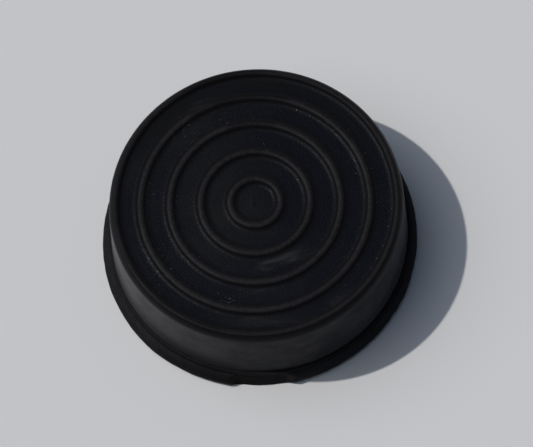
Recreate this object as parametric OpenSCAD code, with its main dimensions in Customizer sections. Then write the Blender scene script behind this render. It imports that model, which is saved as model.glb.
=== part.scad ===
// Slip-on rubber foot: one moulded piece, turned about Z.
// It stands on its mouth, with the ringed sole up.

/* [Body] */
// Height from the mouth face to the crests of the sole
foot_h = 13.4; // [12:0.1:20]
// Diameter at the top of the side wall, where it turns into the shoulder
wall_top_d = 37; // [36:0.1:37.8]
// Draft of the side wall, widening towards the mouth
wall_draft = 2.5; // [0:0.5:4]
// Rounding of the shoulder between the side wall and the rim of the sole
shoulder_r = 1.8; // [1:0.1:3]
// Slope at which the shoulder runs into the rim's tighter crest
shoulder_slope = 50; // [35:1:75]

/* [Lip round the mouth] */
// Outside diameter of the lip
lip_d = 40; // [39.6:0.2:50]
// Thickness of the lip
lip_h = 2.1; // [1.8:0.1:2.6]
// Rounding of the lip's upper edge
lip_edge_r = 0.9; // [0.2:0.1:1.3]
// Rounding of the lip's edge on the mouth face
lip_foot_r = 0.75; // [0.1:0.05:1.1]
// Height of the small step on top of the lip
step_h = 0.7; // [0.3:0.1:1.2]
// Width of that step outside the wall
step_w = 0.25; // [0.1:0.05:0.4]
// Rounding of the step's upper edge
step_edge_r = 0.2; // [0.05:0.05:0.25]
// Depth of the flat where the moulding gate was trimmed off the lip
gate_trim = 0.36; // [0.1:0.02:0.5]
// Direction of that flat about Z
gate_angle = -94; // [-180:1:180]

/* [Sole rings] */
// Number of ring beads inside the rim
ring_count = 4; // [1:1:4]
// Crest radius of the innermost ring
ring_first_r = 3.15; // [2.4:0.01:3.6]
// Distance from one ring to the next
ring_pitch = 3.77; // [3:0.01:4]
// Height of the ring beads and the rim over the sole's face
bead_h = 0.46; // [0.3:0.01:0.7]
// Radius over the crest of a ring bead
bead_crest_r = 0.66; // [0.5:0.01:1.2]
// Radius of the hollow at the foot of each bead
bead_foot_r = 0.63; // [0.4:0.01:1.2]
// Radius over the crest of the rim
rim_crest_r = 0.5; // [0.3:0.05:0.9]

/* [Leg socket] */
// Diameter of the leg that the foot is pushed on to
leg_d = 32; // [28:0.5:33]
// How much smaller the socket is than the leg, so that it grips
grip = 0.5; // [0.2:0.1:1]
// Depth of the socket from the mouth face
socket_depth = 9; // [6:0.1:9.6]
// Width of the lead-in round the mouth
lead_in = 0.6; // [0.2:0.1:0.8]
// Rounding in the corner of the socket's floor
floor_r = 0.8; // [0.3:0.1:1.5]

/* [Hidden] */
$fn = 96;
rubber = [0.085, 0.088, 0.098];
cut_over = 1; // how far a cutting shape runs past what it cuts

lip_r = lip_d / 2;
wall_top_r = wall_top_d / 2;
socket_r = (leg_d - grip) / 2;
step_top = lip_h + step_h;
face_z = foot_h - bead_h; // plane of the sole between its rings

// Directions square to the surface, where the rim meets the shoulder and on the side wall
rim_slope = [sin(shoulder_slope), cos(shoulder_slope)];
wall_slope = [cos(wall_draft), sin(wall_draft)];

// Centres of the rim's crest, at rim_r and rim_z, and of the shoulder, at shoulder_c
rim_z = foot_h - rim_crest_r;
shoulder_c = [wall_top_r - shoulder_r * wall_slope[0],
              rim_z - (shoulder_r - rim_crest_r) * rim_slope[1]];
rim_r = shoulder_c[0] + (shoulder_r - rim_crest_r) * rim_slope[0];

// Where the shoulder runs into the side wall
shoulder_foot = shoulder_c + shoulder_r * wall_slope;

// Radius of the drafted wall at height z
function wall_r(z) = wall_top_r + (shoulder_foot[1] - z) * tan(wall_draft);

// Crest radius of ring i, counted from the centre
function ring_r(i) = ring_first_r + i * ring_pitch;

// Steepest slope on the side of a bead, where its crest and its foot meet
function bead_slope(crest_r) = acos(1 - bead_h / (crest_r + bead_foot_r));

// Half width of a bead, out to where its foot runs into the face
function bead_reach(crest_r) = (crest_r + bead_foot_r) * sin(bead_slope(crest_r));

// Section of a band from the axis out to radius r, its outer corners rounded
module rounded_band(r, bottom, top, bottom_r, top_r) {
    polygon([[0, bottom],
             [r - bottom_r, bottom],
             [r, bottom + bottom_r],
             [r, top - top_r],
             [r - top_r, top],
             [0, top]]);
    translate([r - bottom_r, bottom + bottom_r]) circle(r = bottom_r);
    translate([r - top_r, top - top_r]) circle(r = top_r);
}

// One side of a bead: a round crest that runs into a hollow foot; the crest is at x = 0
module bead_side(crest_r) {
    slope = bead_slope(crest_r);
    reach = bead_reach(crest_r);
    meet_z = bead_foot_r * (1 - cos(slope));
    difference() {
        translate([0, -bead_h]) square([reach, bead_h + meet_z]);
        translate([reach, bead_foot_r]) circle(r = bead_foot_r);
    }
    intersection() {
        translate([0, bead_h - crest_r]) circle(r = crest_r);
        translate([0, meet_z]) square([crest_r, bead_h]);
    }
}

// Section of a whole ring bead, standing on the sole's face
module ring_bead() {
    bead_side(bead_crest_r);
    mirror([1, 0]) bead_side(bead_crest_r);
}

// Section of the rim: a bead's inner side, its crest, and the shoulder that turns into the wall
module rim_bead() {
    translate([rim_r, face_z]) mirror([1, 0]) bead_side(rim_crest_r);
    translate([rim_r, rim_z]) circle(r = rim_crest_r);
    intersection() {
        translate(shoulder_c) circle(r = shoulder_r);
        polygon([shoulder_c,
                 shoulder_c + 2 * shoulder_r * rim_slope,
                 shoulder_c + 2 * shoulder_r * wall_slope]);
    }
}

// Section of the drafted side wall and the sole
module wall_and_sole() {
    square([rim_r, face_z]);
    polygon([[0, 0],
             [wall_r(0), 0],
             shoulder_foot,
             shoulder_c,
             [0, shoulder_c[1]]]);
}

// Section of the open space that the leg goes into
module leg_socket() {
    rounded_band(socket_r, -cut_over, socket_depth, 0, floor_r);
    polygon([[0, -cut_over],
             [socket_r + lead_in, -cut_over],
             [socket_r + lead_in, 0],
             [socket_r, lead_in],
             [0, lead_in]]);
}

module foot_section() {
    difference() {
        union() {
            rounded_band(lip_r, 0, lip_h, lip_foot_r, lip_edge_r);
            rounded_band(wall_r(step_top) + step_w, 0, step_top, 0, step_edge_r);
            wall_and_sole();
            rim_bead();
            for (i = [0 : ring_count - 1]) translate([ring_r(i), face_z]) ring_bead();
        }
        leg_socket();
    }
}

// Flat on the lip where the gate was trimmed
module gate_cut() {
    rotate([0, 0, gate_angle])
        translate([lip_r - gate_trim, -lip_r, -cut_over])
            cube([lip_r, lip_d, lip_h + cut_over]);
}

module rubber_foot() {
    color(rubber) difference() {
        rotate_extrude() foot_section();
        gate_cut();
    }
}

rubber_foot();
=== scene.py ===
import bpy
import numpy as np
from mathutils import Matrix, Vector


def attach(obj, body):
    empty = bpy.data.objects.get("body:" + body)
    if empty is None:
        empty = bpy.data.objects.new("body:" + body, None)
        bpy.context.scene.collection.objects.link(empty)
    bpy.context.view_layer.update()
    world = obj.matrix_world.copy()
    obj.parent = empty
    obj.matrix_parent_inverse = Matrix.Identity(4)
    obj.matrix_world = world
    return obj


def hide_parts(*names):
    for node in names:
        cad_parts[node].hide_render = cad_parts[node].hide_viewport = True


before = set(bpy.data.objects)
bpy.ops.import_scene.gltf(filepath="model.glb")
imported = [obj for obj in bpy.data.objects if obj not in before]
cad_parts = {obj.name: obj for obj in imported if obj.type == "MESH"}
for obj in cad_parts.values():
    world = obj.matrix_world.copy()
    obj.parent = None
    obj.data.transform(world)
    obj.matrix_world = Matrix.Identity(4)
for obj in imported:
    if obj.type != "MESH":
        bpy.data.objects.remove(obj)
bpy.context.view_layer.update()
mm = 0.001
print("frame loaded")

# the foot's shape, in millimetres and degrees
foot = {
    "height": 13.4,
    "wallTop": 18.5, "wallDraft": 1.8, "shoulder": 1.8, "shoulderSlope": 50.0,
    "lipRadius": 20.0, "lipHeight": 2.35, "lipEdge": 1.25, "lipFootEdge": 0.75,
    "stepHeight": 0.55, "stepWidth": 0.32, "stepEdge": 0.2,
    "rings": 4, "firstRing": 3.15, "ringPitch": 3.77,
    "beadHeight": 0.46, "beadCrest": 0.66, "beadFoot": 0.63, "rimCrest": 0.5,
    "socketRadius": 15.75, "socketDepth": 9.0, "leadIn": 0.6, "socketFloorEdge": 0.8,
    "columns": 420,
}

# where the moulding isn't true: the trimmed gate, the wavy trimmed lip, the rings and the rim off centre, and
# the pips at the middle of the sole
flaws = {
    # the gate's direction, where its cut is full and where it ends on either side
    "gateAngle": -95.0, "gateHalf": 8.5, "gateEnd": 14.3,
    # its depth, how far it leans in with the height, its ripple, and how far outside the lip the cut starts
    "gateDepth": 0.42, "gateTilt": 0.26, "gateRipple": 0.02, "gateClear": 0.3,
    # deeper nicks in the trimmed gate: direction, spread, depth
    "gateNicks": ((-89.5, 2.0, 0.06), (-101.5, 2.5, 0.09)),
    "wallFootShift": 0.03, "lipShift": -0.05, "lipWave": 0.035, "ringWave": 0.012,
    # the fewest and the most waves round the axis on the gate, on the lip (long and short ones) and on a ring
    "gateWaves": (15, 40), "lipWaves": (5, 24), "lipRipples": (40, 90), "ringWaves": (3, 30),
    # how high the short waves on the lip are beside the long ones
    "rippleShare": 0.6,
    # between which radii the lip takes over from the wall, and how far a ring's errors and waves reach
    "lipFrom": (18.9, 19.6), "ringReach": (1.2, 1.8), "ringWaveReach": 1.2,
    # where the lip is trimmed less or more: direction, spread, height (below 0: trimmed closer)
    "lipBulges": ((-140.0, 16.0, 0.08), (-62.0, 30.0, -0.17), (163.0, 22.0, -0.13)),
    # how much wider each ring and the rim are than drawn, and how far off centre in x and y
    "ringErrors": ((0.0, -0.05, 0.07), (-0.04, -0.04, 0.04), (0.05, -0.05, -0.01), (-0.03, -0.05, -0.07),
                   (0.01, 0.04, -0.03)),
    # low bumps: x, y, radius, height
    "pips": ((-0.42, -0.25, 0.24, 0.055), (-0.40, 0.45, 0.32, 0.020), (0.02, -0.78, 0.14, 0.020)),
    "seed": 7,
}

# marks of use
wear = {
    # patches on the sole: each is an oval of x, y, half length, half width, direction and strength
    "film": ((-5.4, 0.6, 6.4, 5.0, 90, 0.90), (0.0, 0.0, 2.4, 2.4, 0, 0.35),
             (-3.6, 7.6, 4.0, 3.0, 20, 0.35), (-7.6, 10.6, 4.6, 1.9, 38, 0.55),
             (0.7, -4.2, 1.2, 0.4, -5, 0.5), (1.0, -15.9, 4.4, 1.1, -4, 0.3),
             (2.2, 4.6, 1.8, 1.2, -35, 0.35), (0.4, 12.5, 3.0, 1.2, 0, 0.3),
             (-4.6, -15.4, 2.4, 1.2, -16, 0.4), (-15.0, 5.6, 4.2, 1.8, 68, 0.4),
             (6.0, -9.0, 3.0, 2.0, 30, 0.25)),
    "haze": ((-6.5, -4.5, 8.5, 5.0, 127, 0.45), (1.5, -5.0, 2.5, 1.4, 0, 0.25),
             (1.2, -12.4, 4.0, 1.4, 0, 0.3), (-14.7, -6.6, 6.5, 1.5, -65, 0.3)),
    "bare": ((-9.5, 13.0, 7.0, 2.6, 36, 0.9), (3.0, 16.4, 7.0, 1.6, -8, 0.9),
             (12.6, 10.4, 5.0, 1.4, -50, 0.5)),
    "smear": ((3.3, -7.5, 1.9, 0.48, 13, 0.66), (0.9, -8.15, 1.4, 0.32, 14, 0.72),
              (0.5, -8.9, 1.3, 0.15, 12, 0.66), (4.3, -8.0, 2.1, 0.17, 13, 0.66),
              (-0.7, -11.8, 1.8, 0.20, 3, 0.55), (-5.6, 14.0, 2.0, 0.8, 22, 0.30)),
    "scuff": ((0.6, -16.2, 3.2, 0.45, -3, 0.4), (-1.6, -15.5, 1.8, 0.3, -8, 0.4),
              (8.6, -14.2, 2.0, 0.6, 30, 0.25)),
    # grains of dust; in the hollows at the beads' feet they also stand in for glints: painted glints
    "dust": ((-10.5, -6.5, 5.0, 5.0, 0, 0.9), (-12.6, 3.0, 3.4, 3.4, 0, 0.6),
             (-7.2, 11.2, 3.2, 3.2, 0, 0.7), (-4.5, -12.4, 1.2, 0.7, 20, 1.5),
             (12.2, -9.5, 4.6, 4.6, 0, 0.7), (15.8, -1.5, 3.0, 3.0, 0, 0.6), (13.2, 3.6, 2.6, 2.6, 0, 0.6),
             (10.6, 8.4, 4.4, 1.5, -52, 0.9), (-13.6, -7.0, 5.0, 1.2, -62, 0.4),
             (1.0, 9.0, 2.0, 2.0, 0, 0.4), (-2.6, 11.9, 3.2, 1.3, 8, 1.0), (-8.0, 9.2, 2.4, 2.0, 50, 0.6)),
    "smearTurn": 12.0, "scuffTurn": -4.0,
    # the shaded side: its direction, and how far off it the shade is full and ends
    "shadeTurn": -30.0, "shadeHalf": 45.0, "shadeEnd": 72.0,
    # the lip's dust, how much lighter the lip is painted on the shaded side (painted light), and where and how
    # much the dust is thinner
    "lipDust": 0.75, "lipLightInShade": 0.6, "thinTurn": -114.0, "thinSpread": 20.0, "thinAmount": 0.42,
    # painted light on the foot of the wall in the shade: how much, and how high it reaches
    "wallDust": 0.9, "wallFootLightReach": 1.1,
    # painted shade in the corners over and under the step, and on the step on the shaded side: how much, how
    # much more in the shade, and how far it reaches
    "overStep": (0.5, 0.0, 0.28), "underStep": (0.3, 0.3, 0.2), "onStep": (0.0, 0.6, 0.3),
    # painted shade below the rim's crest: its middle direction, where it fades and where it ends, and how much
    "rimShadeTurn": 2.0, "rimShadeHalf": 120.0, "rimShadeEnd": 153.0, "rimShade": 0.85,
    # where the wall is handled or dull: direction, spread, the heights it fades between, and how much shinier
    # (below 0: duller)
    "handled": ((-160.0, 16.0, 14.0, 13.0, 0.25), (-122.0, 16.0, 7.5, 4.5, -0.42),
                (-52.0, 13.0, 11.0, 8.0, 0.35)),
    # ring number (4 is the rim), direction, half width of the stretch where its crest is darker, and how much
    # (below 0: paler); the rows at 45 to 52 degrees on rings 0 to 3 are painted shade, the rows near 90
    # degrees are rubbed dull
    "dullAndShaded": ((3, 93.0, 26.0, 0.95), (2, 87.0, 17.0, 0.75), (1, 88.0, 14.0, 0.35), (0, 90.0, 20.0, 0.3),
             (4, 96.0, 18.0, 0.8), (4, -133.0, 24.0, 0.6), (4, 150.0, 14.0, -0.5), (4, 60.0, 12.0, -0.25),
             (3, 45.0, 16.0, 0.35), (2, 50.0, 18.0, 0.4), (1, 52.0, 18.0, 0.4), (0, 45.0, 24.0, 0.35),
             (1, 0.0, 190.0, 0.12), (3, -5.0, 20.0, 0.25)),
    # single specks of dust, and two painted glints at (11.1, 7.9) and (2.0, 1.3): x, y, radius, shade, and how
    # warm the shade is
    "specksAndGlints": ((6.4, 12.0, 0.12, 0.110, 0.5), (5.5, 2.5, 0.11, 0.080, 0.6),
               (-14.1, -5.9, 0.11, 0.070, -0.1), (-12.6, 2.7, 0.11, 0.048, -0.5),
               (-15.0, 1.6, 0.11, 0.050, 0.6), (-3.3, 11.8, 0.11, 0.038, -0.4),
               (1.8, 7.9, 0.10, 0.038, -0.5), (12.9, 2.5, 0.11, 0.040, -0.7),
               (16.1, -5.1, 0.11, 0.040, 0.2), (11.1, 7.9, 0.10, 0.050, -0.4),
               (-6.3, -14.0, 0.10, 0.038, -0.1), (-5.9, -11.5, 0.09, 0.034, 0.0),
               (14.2, -9.2, 0.11, 0.036, -0.4), (-5.0, -12.2, 0.10, 0.036, 0.1),
               (-4.1, -12.7, 0.10, 0.036, 0.1), (-3.1, -11.4, 0.09, 0.034, 0.0),
               (2.4, -12.5, 0.08, 0.026, 0.0), (-1.2, -13.1, 0.08, 0.024, 0.0),
               (8.2, -14.8, 0.09, 0.034, -0.2), (9.8, -12.3, 0.09, 0.034, -0.2),
               (7.8, 11.3, 0.09, 0.036, 0.5), (2.0, 1.3, 0.10, 0.040, -0.3)),
}


def smoothStep(value, low, high):  # 0 below low, 1 above high, 3t^2 - 2t^3 between
    step = np.clip((value - low) / (high - low), 0, 1)
    return step * step * (3 - 2 * step)


def beadSlope(crestRadius):  # the steepest slope: acos(1 - height / (crest radius + foot radius))
    return np.arccos(1 - foot["beadHeight"] / (crestRadius + foot["beadFoot"]))


def beadReach(crestRadius):  # half width: (crest radius + foot radius) * sin(steepest slope)
    return (crestRadius + foot["beadFoot"]) * np.sin(beadSlope(crestRadius))


def beadProfile(offset, crestRadius):
    # height over the face at a distance from the crest: the crest's circle, then the foot's hollow circle,
    # then nought
    away = np.abs(offset)
    meet = crestRadius * np.sin(beadSlope(crestRadius))
    reach = beadReach(crestRadius)
    crest = foot["beadHeight"] - crestRadius + np.sqrt(np.maximum(crestRadius ** 2 - away ** 2, 0))
    hollow = foot["beadFoot"] - np.sqrt(np.maximum(foot["beadFoot"] ** 2 - (reach - away) ** 2, 0))
    return np.where(away < meet, crest, np.where(away < reach, hollow, 0.0))


def beadOffsets(crestRadius):  # where a bead's section needs points: equal steps of slope round its circles
    slope = beadSlope(crestRadius)
    crest = crestRadius * np.sin(np.linspace(-slope, slope, 13))
    hollow = beadReach(crestRadius) - foot["beadFoot"] * np.sin(np.linspace(0, slope, 6)[:-1])
    return np.concatenate([-hollow, crest, hollow[::-1]])


def arc(centreR, centreZ, radius, start, end, count):
    # points centre + radius * (cos, sin) between two angles in degrees
    turn = np.radians(np.linspace(start, end, count))
    return np.stack([centreR + radius * np.cos(turn), centreZ + radius * np.sin(turn)], axis=1)


def line(start, end, count):  # evenly spaced points, both ends included
    step = np.linspace(0, 1, count)[:, None]
    return np.array(start) * (1 - step) + np.array(end) * step


# what follows from the sizes above: the face's height, the ring crests, and the rim's and shoulder's centres
faceZ = foot["height"] - foot["beadHeight"]
ringCrests = foot["firstRing"] + foot["ringPitch"] * np.arange(foot["rings"])
draft, rimSlope = np.radians(foot["wallDraft"]), np.radians(foot["shoulderSlope"])
shoulderX = foot["wallTop"] - foot["shoulder"] * np.cos(draft)
shoulderY = foot["height"] - foot["rimCrest"] - (foot["shoulder"] - foot["rimCrest"]) * np.cos(rimSlope)
rimRadius = shoulderX + (foot["shoulder"] - foot["rimCrest"]) * np.sin(rimSlope)
shoulderFoot = shoulderY + foot["shoulder"] * np.sin(draft)
stepTop = foot["lipHeight"] + foot["stepHeight"]


def wallRadius(z):  # the drafted wall: its radius at the shoulder, growing by tan(draft) on the way down
    return foot["wallTop"] + (shoulderFoot - z) * np.tan(draft)


def footSection():
    # the outline of half the section, from the middle of the sole, round the outside, to the middle of the
    # socket's floor; the last number of each arc and line is its count of points
    reach, rimReach = beadReach(foot["beadCrest"]), beadReach(foot["rimCrest"])
    soleRadii = [np.linspace(0, ringCrests[0] - reach, 15)[:-1]]
    for index, crest in enumerate(ringCrests):
        nextStart = ringCrests[index + 1] - reach if index + 1 < len(ringCrests) else rimRadius - rimReach
        soleRadii.append(crest + beadOffsets(foot["beadCrest"]))
        soleRadii.append(np.linspace(crest + reach, nextStart, 6)[1:-1])
    rimInner = beadOffsets(foot["rimCrest"])
    soleRadii.append(rimRadius + rimInner[rimInner < 0])
    soleRadii = np.concatenate(soleRadii)
    soleZ = faceZ + sum(beadProfile(soleRadii - crest, foot["beadCrest"]) for crest in ringCrests)
    soleZ = np.where(soleRadii > rimRadius - rimReach,
                     faceZ + beadProfile(soleRadii - rimRadius, foot["rimCrest"]), soleZ)
    wallFoot = wallRadius(stepTop)
    stepOut = wallFoot + foot["stepWidth"]
    edge, footEdge, stepEdge = foot["lipEdge"], foot["lipFootEdge"], foot["stepEdge"]
    lipR, lipH = foot["lipRadius"], foot["lipHeight"]
    socketR, depth = foot["socketRadius"], foot["socketDepth"]
    corner = foot["socketFloorEdge"]
    return np.concatenate([
        np.stack([soleRadii, soleZ], axis=1),
        arc(rimRadius, foot["height"] - foot["rimCrest"], foot["rimCrest"], 90, 90 - foot["shoulderSlope"], 7),
        arc(shoulderX, shoulderY, foot["shoulder"], 90 - foot["shoulderSlope"], foot["wallDraft"], 11)[1:],
        line((foot["wallTop"], shoulderFoot), (wallRadius(stepTop + 0.8), stepTop + 0.8), 20)[1:],
        line((wallRadius(stepTop + 0.8), stepTop + 0.8), (wallFoot, stepTop), 7)[1:-1],
        line((wallFoot, stepTop), (stepOut - stepEdge, stepTop), 3)[:-1],
        arc(stepOut - stepEdge, stepTop - stepEdge, stepEdge, 90, 0, 5),
        line((stepOut, stepTop - stepEdge), (stepOut, lipH), 4)[1:],
        arc(lipR - edge, lipH - edge, edge, 87, 0, 13),
        line((lipR, lipH - edge), (lipR, footEdge), 4)[1:-1],
        arc(lipR - footEdge, footEdge, footEdge, 0, -90, 8),
        line((lipR - footEdge, 0), (socketR + foot["leadIn"], 0), 6)[1:],
        line((socketR + foot["leadIn"], 0), (socketR, foot["leadIn"]), 3)[1:],
        line((socketR, foot["leadIn"]), (socketR, depth - corner), 6)[1:-1],
        arc(socketR - corner, depth - corner, corner, 0, 90, 7),
        line((socketR - corner, depth), (0, depth), 8)[1:],
    ])


def revolve(name, section, columns, shape, marks):
    # surface of turn: (radius, z) of the section carried round Z, then moved by shape(radius, z, angle);
    # its first and last points lie on the axis and are one vertex each;
    # marks(radius, z, angle) gives named values, kept on the vertices for the material
    angle = np.linspace(0, 2 * np.pi, columns, endpoint=False)
    ringR = np.repeat(section[1:-1, 0, None], columns, axis=1)
    ringZ = np.repeat(section[1:-1, 1, None], columns, axis=1)
    turn = np.repeat(angle[None, :], len(ringR), axis=0)
    values = marks(ringR, ringZ, turn)
    ringR, ringZ = shape(ringR, ringZ, turn)
    body = np.stack([ringR * np.cos(turn), ringR * np.sin(turn), ringZ], axis=-1).reshape(-1, 3)
    topZ = ringZ[0].mean()
    verts = np.concatenate([body, [[0, 0, topZ], [0, 0, section[-1, 1]]]]) * mm
    rows = len(ringR)
    grid = np.arange(rows * columns).reshape(rows, columns)
    beside = np.roll(grid, -1, axis=1)
    quads = np.stack([grid[:-1], grid[1:], beside[1:], beside[:-1]], axis=-1).reshape(-1, 4)
    top, bottom = rows * columns, rows * columns + 1
    topFan = np.stack([np.full(columns, top), grid[0], beside[0]], axis=-1)
    bottomFan = np.stack([np.full(columns, bottom), beside[-1], grid[-1]], axis=-1)
    mesh = bpy.data.meshes.new(name)
    mesh.from_pydata(verts.tolist(), [], quads.tolist() + topFan.tolist() + bottomFan.tolist())
    mesh.shade_smooth()
    for label, value in values.items():
        layer = mesh.attributes.new(label, "FLOAT", "POINT")
        allValues = np.concatenate([value.ravel(), [value[0, 0], value[-1, 0]]]).astype(np.float32)
        layer.data.foreach_set("value", allValues)
    piece = bpy.data.objects.new(name, mesh)
    bpy.context.scene.collection.objects.link(piece)
    print(name, "has", 2 * len(quads) + 2 * columns, "triangles")
    return piece


def waves(turn, lowest, highest, seed):
    # sum of cosines of whole numbers of waves round the axis, about 1 high
    random = np.random.default_rng(seed)
    counts = np.arange(lowest, highest + 1)
    phases = random.uniform(0, 2 * np.pi, len(counts))
    heights = random.uniform(0.4, 1.0, len(counts))
    total = sum(height * np.cos(count * turn + phase)
                for count, phase, height in zip(counts, phases, heights))
    return total / np.sqrt(0.5 * (heights ** 2).sum()) / 2


def turnFrom(turn, degrees):  # signed angle in degrees from a direction, -180 to 180
    return (np.degrees(turn) - degrees + 180) % 360 - 180


def humps(turn, rows):  # sum of height * exp(-(angle / spread)^2) round the axis
    return sum(height * np.exp(-(turnFrom(turn, direction) / spread) ** 2)
               for direction, spread, height in rows)


def footShape(radius, z, turn):
    # where the gate was trimmed, the lip's radius is at most its own - depth - tilt * z, and less by
    # depth * exp(-(angle / spread)^2) at a nick;
    # the rest of the lip waves by a few hundredths, bulges by height * exp(-(angle / spread)^2) and
    # shifts along x;
    # a ring, and the rim with the wall below it, moves out by wider + x * cos(turn) + y * sin(turn), and
    # the foot of the wall by its shift * cos(turn);
    # the rings' crests rise and fall; a pip is height * exp(-(distance / size)^2)
    onLip = smoothStep(radius, *flaws["lipFrom"]) * (z < foot["lipHeight"] + 0.01)
    trimmed = smoothStep(np.abs(turnFrom(turn, flaws["gateAngle"])), flaws["gateEnd"], flaws["gateHalf"])
    clear = flaws["gateClear"]
    flat = foot["lipRadius"] + clear - (flaws["gateDepth"] + clear) * trimmed
    flat = flat - humps(turn, flaws["gateNicks"])
    ripple = waves(turn, *flaws["gateWaves"], flaws["seed"] + 9)
    flat = flat - flaws["gateTilt"] * z * trimmed + flaws["gateRipple"] * ripple
    bulge = humps(turn, flaws["lipBulges"])
    lipRipple = flaws["rippleShare"] * waves(turn, *flaws["lipRipples"], flaws["seed"] + 1)
    wavy = flaws["lipWave"] * (waves(turn, *flaws["lipWaves"], flaws["seed"]) + lipRipple)
    outside = radius > foot["socketRadius"] + 1
    down = smoothStep(z, faceZ, stepTop)
    moved = flaws["wallFootShift"] * np.cos(turn) * down * outside
    for crest, (wider, shiftX, shiftY) in zip([*ringCrests, rimRadius], flaws["ringErrors"]):
        away = np.abs(radius - crest) if crest < rimRadius else np.maximum(rimRadius - radius, 0)
        near = smoothStep(away, *flaws["ringReach"][::-1]) * np.where(outside, 1 - down, z > faceZ - 0.1)
        moved = moved + near * (wider + shiftX * np.cos(turn) + shiftY * np.sin(turn))
    newRadius = radius + onLip * (bulge + wavy + flaws["lipShift"] * np.cos(turn)) + (1 - onLip) * moved
    newRadius = np.where(onLip > 0, np.minimum(newRadius, flat), newRadius)
    lift = np.clip((z - faceZ) / foot["beadHeight"], 0, 1) * (radius < rimRadius + 0.1)
    ringWavy = sum(np.exp(-((radius - crest) / flaws["ringWaveReach"]) ** 2)
                   * waves(turn, *flaws["ringWaves"], flaws["seed"] + 2 + index)
                   for index, crest in enumerate([*ringCrests, rimRadius]))
    x, y = radius * np.cos(turn), radius * np.sin(turn)
    pips = sum(height * np.exp(-((x - centreX) ** 2 + (y - centreY) ** 2) / size ** 2)
               for centreX, centreY, size, height in flaws["pips"])
    return newRadius, z + flaws["ringWave"] * lift * (ringWavy - 1) + pips * (z > faceZ - 0.1)


def patches(x, y, rows):
    # sum of strength * exp(-(u^2 + v^2)): u and v are the place in the oval's own directions, over its
    # half sizes
    total = 0
    for centreX, centreY, halfLength, halfWidth, direction, strength in rows:
        cos, sin = np.cos(np.radians(direction)), np.sin(np.radians(direction))
        u = ((x - centreX) * cos + (y - centreY) * sin) / halfLength
        v = ((y - centreY) * cos - (x - centreX) * sin) / halfWidth
        total = total + strength * np.exp(-(u ** 2 + v ** 2))
    return total


def footMarks(radius, z, turn):
    # where each finish shows, mostly from 0 to 1: steps over the height on a bead, the radius and the height
    # on the wall
    x, y = radius * np.cos(turn), radius * np.sin(turn)
    onSole = (z > faceZ - 0.01) & (radius < rimRadius + 0.01)
    lift = np.clip((z - faceZ) / foot["beadHeight"], 0, 1)
    crests = [*ringCrests, rimRadius]
    # crests darker where rubbed dull, and painted shade on rings 0 to 3 at 45 to 52 degrees
    keenAndLit = np.ones_like(radius)
    for ring, direction, halfWidth, darkening in wear["dullAndShaded"]:
        near = smoothStep(np.abs(radius - crests[ring]), 1.2, 0.9)
        stretch = smoothStep(np.abs(turnFrom(turn, direction)), halfWidth + 3, halfWidth - 3)
        keenAndLit = keenAndLit * (1 - darkening * near * stretch)
    crest = smoothStep(lift, 0.62, 1.0) * keenAndLit
    outside = radius > foot["socketRadius"] + 1
    wall = smoothStep(foot["height"] - z, 0.5, 1.5) * smoothStep(z, stepTop - 0.1, stepTop + 0.2) * outside
    lip = smoothStep(z, stepTop + 0.1, stepTop - 0.1) * outside
    # the shaded side, and the stretch beside the gate where the lip's dust is thin
    shade = smoothStep(np.abs(turnFrom(turn, wear["shadeTurn"])), wear["shadeEnd"], wear["shadeHalf"])
    thin = np.exp(-(turnFrom(turn, wear["thinTurn"]) / wear["thinSpread"]) ** 2)
    # on the shaded side the lip is painted lighter: painted light
    lipDust = wear["lipDust"] + wear["lipLightInShade"] * shade - wear["thinAmount"] * thin
    # painted shade in the corners over and under the step, and on the step in the shade: exp(-(distance /
    # reach)^2)
    offStep = radius - wallRadius(stepTop) - foot["stepWidth"]
    places = (("overStep", np.hypot(radius - wallRadius(stepTop), z - stepTop)),
              ("underStep", np.hypot(offStep, z - foot["lipHeight"])),
              ("onStep", np.hypot(offStep, 0.7 * (z - stepTop))))
    groove = 0
    for label, distance in places:
        amount, shadeAmount, reach = wear[label]
        groove = np.maximum(groove, (amount + shadeAmount * shade) * np.exp(-(distance / reach) ** 2))
    # the foot of the wall on the shaded side is painted lighter: painted light
    settled = wear["wallDust"] * shade * wall * np.exp(-((z - stepTop) / wear["wallFootLightReach"]) ** 2)
    polish = 1 + sum(humps(turn, ((direction, spread, strength),)) * smoothStep(z, high, low)
                     for direction, spread, high, low, strength in wear["handled"])
    rim = smoothStep(radius, rimRadius - 0.40, rimRadius - 0.05) * (1 - wall) * (1 - lip)
    # painted shade below the rim's crest, all round but for the lit left
    fromShade = np.abs(turnFrom(turn, wear["rimShadeTurn"]))
    shadeBelowRim = smoothStep(radius, rimRadius + 0.08, rimRadius + 0.35)
    shadeBelowRim = shadeBelowRim * smoothStep(fromShade, wear["rimShadeEnd"], wear["rimShadeHalf"])
    rim = rim * (1 - wear["rimShade"] * shadeBelowRim)
    flat = smoothStep(lift, 0.35, 0.0) * onSole
    hollow = onSole * sum(np.exp(-((np.abs(radius - ring) - 0.78) / 0.16) ** 2) for ring in crests)
    return {
        "crest": np.where(onSole, crest, 0) * (1 - rim), "rim": rim * keenAndLit, "wall": wall, "lip": lip,
        "lipDust": lip * lipDust, "wallDust": settled,
        "groove": groove, "hollow": hollow, "polish": polish,
        "flat": flat, "bloom": flat * (1 - np.clip(patches(x, y, wear["bare"]), 0, 1)),
        "haze": patches(x, y, wear["haze"]) * flat, "film": patches(x, y, wear["film"]) * flat,
        "smear": patches(x, y, wear["smear"]) * onSole, "scuff": patches(x, y, wear["scuff"]) * onSole,
        "dust": np.clip(0.2 + 0.6 * hollow + patches(x, y, wear["dust"]) * (1 + hollow), 0, 2.4) * onSole,
    }


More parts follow.
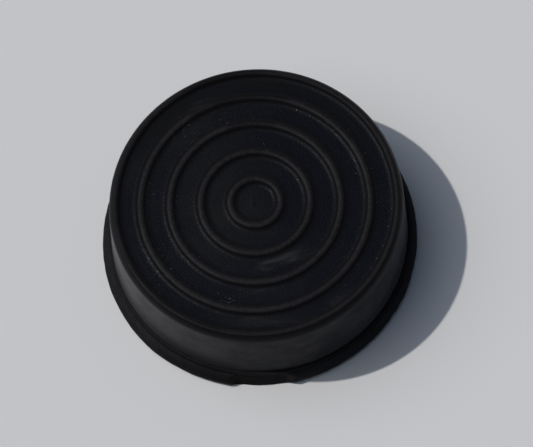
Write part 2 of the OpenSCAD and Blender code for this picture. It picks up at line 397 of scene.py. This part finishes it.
def addNode(tree, kind, inputs, **settings):
    # a node with its settings and inputs: an input is a number, a colour or another node's output
    node = tree.nodes.new(kind)
    for label, value in settings.items():
        setattr(node, label, value)
    for socket, value in inputs.items():
        if isinstance(value, bpy.types.NodeSocket):
            tree.links.new(value, node.inputs[socket])
        else:
            node.inputs[socket].default_value = value
    return node


def addMath(tree, operation, first, second=0.0):
    return addNode(tree, "ShaderNodeMath", {0: first, 1: second}, operation=operation).outputs[0]


def addRange(tree, value, low, high, newLow, newHigh):
    return addNode(tree, "ShaderNodeMapRange", {"Value": value, "From Min": low, "From Max": high,
                                                "To Min": newLow, "To Max": newHigh}).outputs["Result"]


def addMix(tree, factor, first, second):
    first, second = (value if isinstance(value, bpy.types.NodeSocket) else (*value, 1)
                     for value in (first, second))
    inputs = {"Factor": factor, 6: first, 7: second}
    return addNode(tree, "ShaderNodeMix", inputs, data_type="RGBA").outputs[2]


def addNoise(tree, vector, scale, detail=2.0, rough=0.5):
    return addNode(tree, "ShaderNodeTexNoise", {"Vector": vector, "Scale": scale, "Detail": detail,
                                                "Roughness": rough}).outputs["Fac"]


def addMark(tree, label):
    return addNode(tree, "ShaderNodeAttribute", {}, attribute_name=label).outputs["Fac"]


def addTurned(tree, vector, degrees, length):  # the place, for noise drawn out along a direction about Z
    inputs = {"Vector": vector, "Rotation": (0, 0, np.radians(degrees)), "Scale": (length, 1, 1)}
    return addNode(tree, "ShaderNodeMapping", inputs, vector_type="TEXTURE").outputs["Vector"]


def addVector(tree, operation, inputs):
    return addNode(tree, "ShaderNodeVectorMath", inputs, operation=operation).outputs


def addRound(tree, place, along, across):
    # a place for noise drawn out round the axis: (direction from the axis) * along, and
    # (radius - z) * across upwards
    flat = addVector(tree, "MULTIPLY", {0: place, 1: (1, 1, 0)})["Vector"]
    away = addVector(tree, "LENGTH", {0: flat})["Value"]
    direction = addVector(tree, "NORMALIZE", {0: flat})["Vector"]
    wide = addVector(tree, "SCALE", {0: direction, "Scale": along})["Vector"]
    up = addNode(tree, "ShaderNodeSeparateXYZ", {"Vector": place}).outputs["Z"]
    high = addMath(tree, "MULTIPLY", addMath(tree, "SUBTRACT", away, up), across)
    rise = addNode(tree, "ShaderNodeCombineXYZ", {"Z": high}).outputs["Vector"]
    return addVector(tree, "ADD", {0: wide, 1: rise})["Vector"]


# the rubber's finish: colours are linear, grains in waves per metre
rubber = {
    "bare": (0.0022, 0.0020, 0.0020), "bloom": (0.0011, 0.0018, 0.0041), "flank": (0.0036, 0.0034, 0.0038),
    "settled": (0.0088, 0.0089, 0.0112),
    "crest": (0.0110, 0.0104, 0.0124), "rim": (0.0085, 0.0081, 0.0096),
    "wall": (0.0068, 0.0066, 0.0098), "lip": (0.0170, 0.0165, 0.0186), "groove": (0.0055, 0.0053, 0.0060),
    "film": (0.0058, 0.0056, 0.0062), "haze": (0.0050, 0.0060, 0.0080), "smear": (0.021, 0.020, 0.020),
    "dust": (0.050, 0.056, 0.068),
    "bareRough": 0.38, "crestRough": 0.50, "rimRough": 0.62, "wallRough": 0.30, "lipRough": 0.58,
    "ior": 1.14, "tint": (0.90, 0.94, 1.0), "gloss": 0.53, "wallGloss": 0.19, "lipGloss": 0.30,
    "sheen": 0.03, "wallSheen": 0.045, "sheenRough": 0.5,
    "grain": 5200.0, "grainHeight": 0.00004, "glints": 3300.0, "glintHeight": 0.000018,
    "strokeHeight": 0.00009,
    "broad": 130.0, "mottle": 420.0, "fine": 2600.0, "fleck": 4800.0, "brushed": 2300.0, "peaks": 5600.0,
    # noises drawn out round the axis: waves along it per radian, and across it per metre
    "clouds": (6.0, 420.0), "strokes": (11.0, 3600.0),
    # how far a brush stroke is drawn out, above which noise a grain of dust lies, and how far dust lowers that
    "brushLength": 6.0, "dustLevel": 0.80, "dustShare": 0.085,
}


def rubberMaterial():
    material = bpy.data.materials.new("blackRubber")
    material.use_nodes = True
    tree = material.node_tree
    shader = tree.nodes["Principled BSDF"]
    shader.inputs["IOR"].default_value = rubber["ior"]
    shader.inputs["Sheen Roughness"].default_value = rubber["sheenRough"]
    shader.inputs["Specular Tint"].default_value = (*rubber["tint"], 1)
    place = addNode(tree, "ShaderNodeTexCoord", {}).outputs["Object"]
    up = addNode(tree, "ShaderNodeSeparateXYZ", {"Vector": place}).outputs["Z"]
    bloom, crest, rim, wall, lip, groove, hollow = (
        addMark(tree, label) for label in ("bloom", "crest", "rim", "wall", "lip", "groove", "hollow"))

    broad = addNoise(tree, place, rubber["broad"], 2.0, 0.5)
    mottle = addNoise(tree, place, rubber["mottle"], 4.0, 0.6)
    fine = addNoise(tree, place, rubber["fine"], 2.0, 0.6)
    clouds = addNoise(tree, addRound(tree, place, *rubber["clouds"]), 1.0, 4.0, 0.6)
    strokes = addNoise(tree, addRound(tree, place, *rubber["strokes"]), 1.0, 3.0, 0.65)

    # zones first: bare rubber, the bluish tint on the flats (partly a painted reflection of the blue sky),
    # bead flanks and feet, ring crests, rim, wall and lip, with painted light and painted shade on the lip,
    # the wall's foot and the step
    # the bluish tint on the flats: partly a painted reflection of the blue sky
    fleck = addRange(tree, addNoise(tree, place, rubber["fleck"], 2.0, 0.6), 0.35, 0.65, 0.6, 1.0)
    colour = addMix(tree, addMath(tree, "MULTIPLY", bloom, fleck), rubber["bare"], rubber["bloom"])
    colour = addMix(tree, addMark(tree, "flat"), rubber["flank"], colour)
    colour = addMix(tree, addMath(tree, "MULTIPLY", hollow, 0.5), colour, rubber["settled"])
    worn = addMath(tree, "MULTIPLY", addRange(tree, fine, 0.3, 0.7, 0.35, 1.45),
                   addRange(tree, broad, 0.35, 0.65, 0.8, 1.15))
    colour = addMix(tree, addMath(tree, "MULTIPLY", crest, worn), colour, rubber["crest"])
    colour = addMix(tree, addMath(tree, "MULTIPLY", rim, worn), colour, rubber["rim"])
    cloudy = addMath(tree, "MULTIPLY", wall, addRange(tree, clouds, 0.38, 0.62, 0.7, 1.1))
    colour = addMix(tree, cloudy, colour, rubber["wall"])
    lipDust = addMath(tree, "MULTIPLY", addRange(tree, strokes, 0.36, 0.64, 0.6, 1.2),
                      addRange(tree, fine, 0.3, 0.7, 0.6, 1.2))
    # painted shade: the lip's side darker towards the bottom
    lipDust = addMath(tree, "MULTIPLY", lipDust, addRange(tree, up, 1.2 * mm, 2.2 * mm, 0.5, 1.0))
    colour = addMix(tree, addMath(tree, "MULTIPLY", addMark(tree, "lipDust"), lipDust), colour, rubber["lip"])
    # painted light: the wall's foot on the shaded side in the lip's colour
    colour = addMix(tree, addMark(tree, "wallDust"), colour, rubber["lip"])
    # painted shade: the step's corners, and the step on the shaded side, darker
    colour = addMix(tree, groove, colour, rubber["groove"])

    # a bluish haze and a grey film in clouds, then brushed smears
    for label in ("haze", "film"):
        veil = addMath(tree, "MULTIPLY", addMark(tree, label), addRange(tree, mottle, 0.35, 0.65, 0.7, 1.15))
        colour = addMix(tree, veil, colour, rubber[label])
    for label in ("smear", "scuff"):
        drawn = addTurned(tree, place, wear[label + "Turn"], rubber["brushLength"])
        brushed = addNoise(tree, drawn, rubber["brushed"], 3.0, 0.6)
        amount = addMath(tree, "MULTIPLY", addMark(tree, label), addRange(tree, brushed, 0.4, 0.6, 0.3, 1.15))
        colour = addMix(tree, amount, colour, rubber["smear"])

    # dust: grains where a fine noise peaks, more of them where the mark is high, and in the hollows at the
    # beads' feet they are also painted glints; then the single specks and two painted glints
    peaks = addNoise(tree, place, rubber["peaks"], 1.0, 0.5)
    lowered = addMath(tree, "MULTIPLY", addMark(tree, "dust"), rubber["dustShare"])
    level = addMath(tree, "SUBTRACT", rubber["dustLevel"], lowered)
    dust = addRange(tree, addMath(tree, "SUBTRACT", peaks, level), 0.0, 0.10, 0.0, 0.8)
    colour = addMix(tree, dust, colour, rubber["dust"])
    for x, y, size, shade, warmth in wear["specksAndGlints"]:
        away = addVector(tree, "DISTANCE", {0: place, 1: (x * mm, y * mm, faceZ * mm)})["Value"]
        speck = addRange(tree, away, size * mm, 0.3 * size * mm, 0.0, 1.0)
        colour = addMix(tree, speck, colour, (shade * (1 + 0.2 * warmth), shade, shade * (1 - 0.3 * warmth)))
    tree.links.new(colour, shader.inputs["Base Color"])

    rough = addRange(tree, crest, 0, 1, rubber["bareRough"], rubber["crestRough"])
    for mark, value in ((rim, rubber["rimRough"]), (wall, rubber["wallRough"]), (lip, rubber["lipRough"])):
        rough = addMath(tree, "ADD", addMath(tree, "MULTIPLY", rough, addMath(tree, "SUBTRACT", 1.0, mark)),
                        addMath(tree, "MULTIPLY", mark, value))
    rough = addMath(tree, "ADD", rough, addRange(tree, mottle, 0.3, 0.7, -0.04, 0.04))
    rough = addMath(tree, "SUBTRACT", rough, addMath(tree, "MULTIPLY", hollow, 0.07))
    tree.links.new(rough, shader.inputs["Roughness"])

    # the wall is less glossy than the sole, in clouds and towards its foot, and differs where it is handled;
    # the hollows at the feet of the beads are less glossy too, and the corners of the step are dull
    wallShine = addMath(tree, "MULTIPLY", addRange(tree, clouds, 0.38, 0.62, 0.62, 1.3), rubber["wallGloss"])
    wallShine = addMath(tree, "MULTIPLY", wallShine, addRange(tree, up, 3 * mm, 6 * mm, 0.85, 1.0))
    wallShine = addMath(tree, "MULTIPLY", wallShine, addMark(tree, "polish"))
    soleShine = addMath(tree, "MULTIPLY", addRange(tree, hollow, 0, 1, 1.0, 0.36), rubber["gloss"])
    shine = addMath(tree, "ADD", addMath(tree, "MULTIPLY", wall, wallShine),
                    addMath(tree, "MULTIPLY", addMath(tree, "SUBTRACT", 1.0, wall), soleShine))
    shine = addMath(tree, "ADD", addMath(tree, "MULTIPLY", lip, rubber["lipGloss"]),
                    addMath(tree, "MULTIPLY", addMath(tree, "SUBTRACT", 1.0, lip), shine))
    shine = addMath(tree, "MULTIPLY", shine, addRange(tree, groove, 0, 1, 1.0, 0.2))
    tree.links.new(shine, shader.inputs["Specular IOR Level"])
    # sheen: dust that shows at a flat angle, on the sole and more on the wall
    wallSheen = addMath(tree, "MULTIPLY", addRange(tree, up, 3 * mm, 6 * mm, 0.9, 1.0), rubber["wallSheen"])
    wallSheen = addMath(tree, "MULTIPLY", wallSheen, addMark(tree, "polish"))
    sheen = addMath(tree, "ADD", addMath(tree, "MULTIPLY", wall, wallSheen),
                    addMath(tree, "MULTIPLY", addMath(tree, "SUBTRACT", 1.0, wall), rubber["sheen"]))
    sheen = addMath(tree, "MULTIPLY", sheen, addMath(tree, "SUBTRACT", 1.0, lip))
    tree.links.new(sheen, shader.inputs["Sheen Weight"])

    # relief in metres: a fine grain, coarser in the hollows at the feet of the beads, and strokes round the
    # lip
    grain = addMath(tree, "MULTIPLY", addNoise(tree, place, rubber["grain"], 2.0, 0.6), rubber["grainHeight"])
    glints = addNoise(tree, place, rubber["glints"], 1.0, 0.5)
    glints = addMath(tree, "MULTIPLY", glints, rubber["glintHeight"])
    strokeRelief = addMath(tree, "MULTIPLY", strokes, rubber["strokeHeight"])
    edges = addMath(tree, "MAXIMUM", lip, addMath(tree, "MULTIPLY", rim, 0.3))
    offWall = addMath(tree, "SUBTRACT", 1.0, addMath(tree, "MULTIPLY", wall, 0.85))
    grain = addMath(tree, "MULTIPLY", grain, offWall)
    height = addMath(tree, "ADD", grain, addMath(tree, "MULTIPLY", glints, hollow))
    height = addMath(tree, "ADD", height, addMath(tree, "MULTIPLY", strokeRelief, edges))
    bump = addNode(tree, "ShaderNodeBump", {"Strength": 1.0, "Distance": 1.0, "Height": height})
    tree.links.new(bump.outputs["Normal"], shader.inputs["Normal"])
    return material


footPiece = revolve("footBody", footSection(), foot["columns"], footShape, footMarks)
footPiece.data.materials.append(rubberMaterial())
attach(footPiece, "root")
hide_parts("rubber_foot")
print("foot made:", len(footPiece.data.polygons), "faces")

# the floor, the lamps and the camera: metres and degrees
studio = {
    "floorColour": (0.52, 0.52, 0.53), "floorSize": 8.0,
    "keyStrength": 2.44, "keyColour": (1.0, 0.965, 0.905), "keySpread": 1.3,
    "glowStrength": 1.08, "glowColour": (0.96, 1.0, 1.06), "glowSpread": 60.0,
    "lampElevation": 58.3, "lampAzimuth": 169.0,
    "horizon": (0.175, 0.165, 0.145), "zenith": (0.100, 0.165, 0.270),
    "skyNear": 0.41, "skyFar": 0.97, "skyLeft": 1.15, "skyRight": 0.95,
    "distance": 0.8, "elevation": 67.964, "pitch": -0.157, "yaw": 0.199, "roll": -6.145,
    "lens": 425.1,
}


def makeFloor():
    half = studio["floorSize"] / 2
    mesh = bpy.data.meshes.new("floor")
    corners = [(-half, -half, 0), (half, -half, 0), (half, half, 0), (-half, half, 0)]
    mesh.from_pydata(corners, [], [(0, 1, 2, 3)])
    floor = bpy.data.objects.new("floor", mesh)
    bpy.context.scene.collection.objects.link(floor)
    material = bpy.data.materials.new("paleFloor")
    material.use_nodes = True
    shader = material.node_tree.nodes["Principled BSDF"]
    shader.inputs["Base Color"].default_value = (*studio["floorColour"], 1)
    shader.inputs["Roughness"].default_value = 0.9
    shader.inputs["Specular IOR Level"].default_value = 0.2
    mesh.materials.append(material)


def makeLamp(name, strength, colour, spread):
    lampData = bpy.data.lights.new(name, "SUN")
    lampData.energy = strength
    lampData.color = colour
    lampData.angle = np.radians(spread)
    lamp = bpy.data.objects.new(name, lampData)
    up, around = np.radians(studio["lampElevation"]), np.radians(studio["lampAzimuth"])
    toLamp = Vector((np.cos(up) * np.cos(around), np.cos(up) * np.sin(around), np.sin(up)))
    lamp.rotation_euler = toLamp.to_track_quat("Z", "Y").to_euler()
    bpy.context.scene.collection.objects.link(lamp)


def makeRoom():
    # light from all round: pale at the horizon, bluer overhead, stronger on the far (+Y) and left (-X) sides
    world = bpy.data.worlds.new("room")
    world.use_nodes = True
    tree = world.node_tree
    direction = addNode(tree, "ShaderNodeTexCoord", {}).outputs["Generated"]
    parts = addNode(tree, "ShaderNodeSeparateXYZ", {"Vector": direction}).outputs
    colour = addMix(tree, addRange(tree, parts["Z"], 0, 1, 0, 1), studio["horizon"], studio["zenith"])
    tree.links.new(colour, tree.nodes["Background"].inputs["Color"])
    nearToFar = addRange(tree, parts["Y"], -1, 1, studio["skyNear"], studio["skyFar"])
    leftToRight = addRange(tree, parts["X"], -1, 1, studio["skyLeft"], studio["skyRight"])
    strength = addMath(tree, "MULTIPLY", nearToFar, leftToRight)
    tree.links.new(strength, tree.nodes["Background"].inputs["Strength"])
    bpy.context.scene.world = world


def makeCamera():
    # stands on the -Y side and looks nearly at the origin; pitch and yaw turn it off that line, roll about it
    el, tilt = np.radians(studio["elevation"]), np.radians(studio["elevation"] + studio["pitch"])
    yaw, roll = np.radians(studio["yaw"]), np.radians(studio["roll"])
    forward = Vector((np.sin(yaw) * np.cos(tilt), np.cos(yaw) * np.cos(tilt), -np.sin(tilt)))
    right = forward.cross(Vector((0, 0, 1))).normalized()
    up = right.cross(forward)
    rolledRight = np.cos(roll) * right + np.sin(roll) * up
    rolledUp = -np.sin(roll) * right + np.cos(roll) * up
    lensData = bpy.data.cameras.new("camera")
    lensData.lens = studio["lens"]
    lensData.sensor_width = 36
    lensData.sensor_fit = "HORIZONTAL"
    lensData.clip_start = 0.01
    lensData.clip_end = 50
    camera = bpy.data.objects.new("camera", lensData)
    turn = Matrix((rolledRight, rolledUp, -forward)).transposed().to_4x4()
    stand = Matrix.Translation((0, -studio["distance"] * np.cos(el), studio["distance"] * np.sin(el)))
    camera.matrix_world = stand @ turn
    bpy.context.scene.collection.objects.link(camera)
    bpy.context.scene.camera = camera


makeFloor()
makeLamp("key", studio["keyStrength"], studio["keyColour"], studio["keySpread"])
makeLamp("glow", studio["glowStrength"], studio["glowColour"], studio["glowSpread"])
makeRoom()
makeCamera()
bpy.context.scene.view_settings.view_transform = "Standard"
print("studio made")
